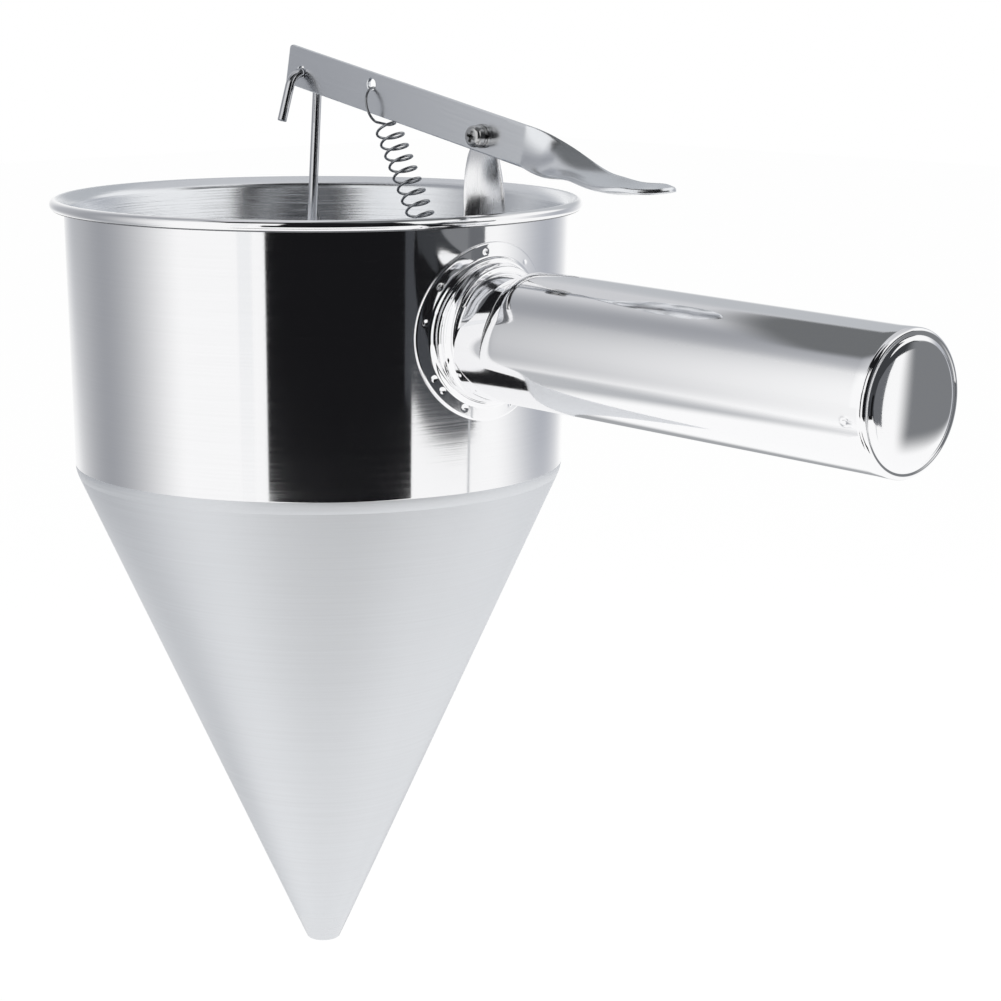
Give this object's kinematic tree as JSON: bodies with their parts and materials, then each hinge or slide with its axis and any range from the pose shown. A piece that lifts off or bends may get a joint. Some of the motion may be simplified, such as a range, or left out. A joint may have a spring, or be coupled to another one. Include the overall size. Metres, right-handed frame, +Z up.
{
  "type": "batter dispenser",
  "caption": "Hand-held steel batter dispenser: cone bowl with a sprung stopper valve worked by a thumb lever above its tube handle.",
  "frame": {"origin": "centre of the outlet's lower face, on the bowl's axis", "axes": "+Z up along the bowl's axis, +X towards the handle; the outlet points along -Z"},
  "size_m": [0.2778, 0.145, 0.2524],
  "materials": {
    "polished_bowl": "fine circumferential brushing over polished stainless steel",
    "satin_cone": "satin brushed stainless steel",
    "mirror_steel": "mirror polished stainless steel",
    "strip_steel": "smooth rolled and tumbled stainless strip",
    "wire_steel": "polished stainless wire",
    "spring_steel": "drawn stainless spring wire",
    "fastener_steel": "plain stainless fasteners",
    "turned_steel": "turned and satin finished stainless steel"
  },
  "bodies": {
    "dispenser": {"cup_wall": "polished_bowl", "funnel_cone": "satin_cone", "outlet_tip": "turned_steel", "handle_flange": "mirror_steel", "handle_neck": "mirror_steel", "handle_tube": "mirror_steel", "handle_cap": "mirror_steel", "lever_bracket": "strip_steel", "pivot_screw": "fastener_steel", "flat_washer": "fastener_steel", "lock_washer": "fastener_steel", "bearing_washer": "fastener_steel", "pivot_nut": "fastener_steel", "return_spring": "spring_steel"},
    "thumb_lever": {"lever": "strip_steel"},
    "stopper": {"stopper_rod": "wire_steel", "stopper_plug": "turned_steel"}
  },
  "joints": [
    {"name": "lever_pivot", "type": "hinge", "parent": "dispenser", "child": "thumb_lever", "pos_m": [0.0672, -0.0018, 0.2313], "axis": [0, 1, 0], "range_deg": [-9.64, 20], "stiffness_Nm_per_rad": 0.3, "springref_deg": -28.65, "deforming": ["return_spring"]},
    {"name": "rod_swing", "type": "hinge", "parent": "thumb_lever", "child": "stopper", "pos_m": [-0.0034, -0.0018, 0.24521], "axis": [0, 1, 0], "range_deg": [-19.5, 9.5]}
  ],
  "couplings": [
    {"joint": "rod_swing", "follows": "lever_pivot", "ratio": -0.9656}
  ]
}
